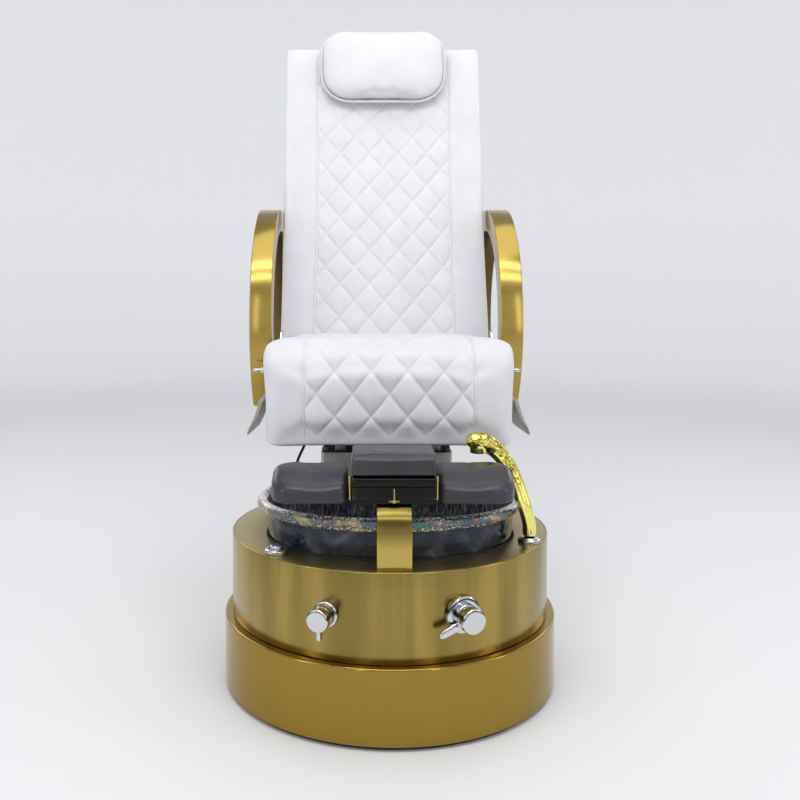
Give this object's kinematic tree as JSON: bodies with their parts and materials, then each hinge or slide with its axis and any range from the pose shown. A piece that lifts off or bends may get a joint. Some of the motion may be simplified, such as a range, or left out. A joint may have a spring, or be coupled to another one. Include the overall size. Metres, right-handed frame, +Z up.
{
  "type": "pedicure spa chair",
  "caption": "Round two-tier gold base with a glass foot bowl, padded foot rest on a post, quilted reclining seat with headrest and ring-shaped armrests.",
  "frame": {"origin": "centre of the round base on the floor", "axes": "+Z up, the client faces -Y, +X is the client's left and the viewer's right from the front"},
  "size_m": [0.72, 1.2316, 1.585],
  "materials": {
    "air_button": "polished chrome",
    "air_button_bezel": "polished chrome",
    "armrest_left": "brushed gold box section",
    "armrest_right": "brushed gold box section",
    "back_bracket_left": "polished chrome",
    "back_bracket_right": "polished chrome",
    "back_cushion": "white upholstery over foam, quilted in diamonds",
    "back_frame": "black painted steel",
    "back_shell": "white covered rear shell",
    "base_plate": "black coated steel plate",
    "bowl_gasket": "black rubber",
    "bowl_support": "moulded grey plastic",
    "centre_pad": "dark grey upholstery leather",
    "column_shell": "beige painted sheet",
    "column_top": "black painted steel",
    "deck_plate": "brushed gold coated stainless sheet",
    "diverter_collar": "polished chrome",
    "diverter_knob": "polished chrome",
    "diverter_valve": "plain machined steel",
    "drain_pipe": "moulded grey plastic",
    "drain_pump": "moulded black plastic",
    "drain_strainer": "polished chrome",
    "foot_mast": "plain machined steel",
    "foot_pad_left": "dark grey upholstery leather",
    "foot_pad_right": "dark grey upholstery leather",
    "foot_post": "brushed gold coated stainless sheet",
    "footrest_housing": "glossy black moulding",
    "glass_bowl": "thick crackled clear glass with an iridescent rim",
    "hand_shower": "polished gold plating",
    "headrest_pillow": "white upholstery over foam, quilted in diamonds",
    "headrest_strap": "white upholstery leather",
    "housing_trim": "polished gold plating",
    "jet_cap": "polished chrome",
    "jet_motor": "moulded black plastic",
    "lower_drum": "mirror polished gold coated stainless sheet",
    "mixer_escutcheon": "polished chrome",
    "mixer_handle": "polished chrome",
    "mixer_valve": "plain machined steel",
    "pad_hinge_left": "polished gold plating",
    "pad_hinge_right": "polished gold plating",
    "power_cable": "black rubber",
    "recline_strut_rod": "polished chrome",
    "recline_strut_tube": "black painted steel",
    "seat_cushion": "white upholstery over foam, quilted in diamonds",
    "seat_pan": "black edged plywood board",
    "shower_collar": "polished chrome",
    "shower_face": "moulded grey plastic",
    "shower_hose": "polished chrome",
    "side_bracket_left": "polished chrome",
    "side_bracket_right": "polished chrome",
    "slide_rail_left": "plain machined steel",
    "slide_rail_right": "plain machined steel",
    "swivel_bearing": "plain machined steel",
    "swivel_plate": "black painted steel",
    "tray_arm_left": "white painted tube",
    "tray_arm_right": "white painted tube",
    "tray_left": "taupe moulding",
    "tray_right": "taupe moulding",
    "upper_drum": "brushed gold coated stainless sheet"
  },
  "bodies": {
    "base": {"base_plate": "base_plate", "lower_drum": "lower_drum", "upper_drum": "upper_drum", "deck_plate": "deck_plate", "glass_bowl": "glass_bowl", "bowl_gasket": "bowl_gasket", "bowl_support": "bowl_support", "drain_strainer": "drain_strainer", "drain_pipe": "drain_pipe", "drain_pump": "drain_pump", "jet_cap": "jet_cap", "jet_motor": "jet_motor", "foot_post": "foot_post", "mixer_escutcheon": "mixer_escutcheon", "mixer_valve": "mixer_valve", "diverter_collar": "diverter_collar", "diverter_valve": "diverter_valve", "air_button_bezel": "air_button_bezel", "shower_collar": "shower_collar", "column_shell": "column_shell", "column_top": "column_top", "swivel_bearing": "swivel_bearing", "power_cable": "power_cable"},
    "mixer": {"mixer_handle": "mixer_handle"},
    "diverter": {"diverter_knob": "diverter_knob"},
    "button": {"air_button": "air_button"},
    "shower": {"hand_shower": "hand_shower", "shower_face": "shower_face", "shower_hose": "shower_hose"},
    "footrest": {"foot_mast": "foot_mast", "footrest_housing": "footrest_housing", "housing_trim": "housing_trim", "centre_pad": "centre_pad", "pad_hinge_left": "pad_hinge_left", "pad_hinge_right": "pad_hinge_right"},
    "pad_left": {"foot_pad_left": "foot_pad_left"},
    "pad_right": {"foot_pad_right": "foot_pad_right"},
    "swivel": {"swivel_plate": "swivel_plate", "slide_rail_left": "slide_rail_left", "slide_rail_right": "slide_rail_right"},
    "seat": {"seat_pan": "seat_pan", "seat_cushion": "seat_cushion", "back_bracket_left": "back_bracket_left", "back_bracket_right": "back_bracket_right", "side_bracket_left": "side_bracket_left", "side_bracket_right": "side_bracket_right", "tray_arm_left": "tray_arm_left", "tray_arm_right": "tray_arm_right"},
    "backrest": {"back_frame": "back_frame", "back_shell": "back_shell", "back_cushion": "back_cushion"},
    "headrest": {"headrest_pillow": "headrest_pillow", "headrest_strap": "headrest_strap"},
    "arm_left": {"armrest_left": "armrest_left"},
    "arm_right": {"armrest_right": "armrest_right"},
    "tray_flap_left": {"tray_left": "tray_left"},
    "tray_flap_right": {"tray_right": "tray_right"},
    "strut_tube": {"recline_strut_tube": "recline_strut_tube"},
    "strut_rod": {"recline_strut_rod": "recline_strut_rod"}
  },
  "joints": [
    {"name": "mixer_turn", "type": "hinge", "parent": "base", "child": "mixer", "pos_m": [0.12712, -0.31944, 0.245], "axis": [0.3698, -0.9291, 0], "range_deg": [-45, 45]},
    {"name": "diverter_turn", "type": "hinge", "parent": "base", "child": "diverter", "pos_m": [-0.12712, -0.31944, 0.245], "axis": [-0.3698, -0.9291, 0], "range_deg": [-90, 0]},
    {"name": "air_button_press", "type": "slide", "parent": "base", "child": "button", "axis": [0, 0, -1], "range_m": [0, 0.003]},
    {"name": "shower_lift", "type": "slide", "parent": "base", "child": "shower", "axis": [0, 0, 1], "range_m": [0, 0.12]},
    {"name": "footrest_height", "type": "slide", "parent": "base", "child": "footrest", "axis": [0, 0, 1], "range_m": [0, 0.04]},
    {"name": "pad_left_swing", "type": "hinge", "parent": "footrest", "child": "pad_left", "pos_m": [-0.0834, -0.272, 0.47], "axis": [0, 0, 1], "range_deg": [0, 30]},
    {"name": "pad_right_swing", "type": "hinge", "parent": "footrest", "child": "pad_right", "pos_m": [0.0834, -0.272, 0.47], "axis": [0, 0, -1], "range_deg": [0, 30]},
    {"name": "seat_swivel", "type": "hinge", "parent": "base", "child": "swivel", "pos_m": [0, 0.25, 0.47], "axis": [0, 0, 1], "range_deg": [-20, 20]},
    {"name": "seat_slide", "type": "slide", "parent": "swivel", "child": "seat", "axis": [0, 1, 0], "range_m": [0, 0.08]},
    {"name": "backrest_recline", "type": "hinge", "parent": "seat", "child": "backrest", "pos_m": [0, 0.46, 0.574], "axis": [-1, 0, 0], "range_deg": [0, 35]},
    {"name": "headrest_height", "type": "slide", "parent": "backrest", "child": "headrest", "axis": [0, 0.2807, 0.9598], "range_m": [0, 0.05]},
    {"name": "arm_left_lift", "type": "hinge", "parent": "seat", "child": "arm_left", "pos_m": [-0.31, 0.46, 0.574], "axis": [-1, 0, 0], "range_deg": [0, 50]},
    {"name": "arm_right_lift", "type": "hinge", "parent": "seat", "child": "arm_right", "pos_m": [0.31, 0.46, 0.574], "axis": [-1, 0, 0], "range_deg": [0, 50]},
    {"name": "tray_left_fold", "type": "hinge", "parent": "seat", "child": "tray_flap_left", "pos_m": [-0.2815, 0.12, 0.593], "axis": [0, 1, 0], "range_deg": [0, 65]},
    {"name": "tray_right_fold", "type": "hinge", "parent": "seat", "child": "tray_flap_right", "pos_m": [0.2815, 0.12, 0.593], "axis": [0, -1, 0], "range_deg": [0, 65]},
    {"name": "strut_tilt", "type": "hinge", "parent": "seat", "child": "strut_tube", "pos_m": [0, 0.47, 0.455], "axis": [-1, 0, 0], "range_deg": [0, 25]},
    {"name": "strut_stroke", "type": "slide", "parent": "strut_tube", "child": "strut_rod", "axis": [0, 0.33, 0.944], "range_m": [-0.046, 0]}
  ],
  "couplings": [
    {"joint": "strut_tilt", "follows": "backrest_recline", "ratio": 0.632},
    {"joint": "strut_stroke", "follows": "backrest_recline", "m_per_rad": -0.065}
  ]
}
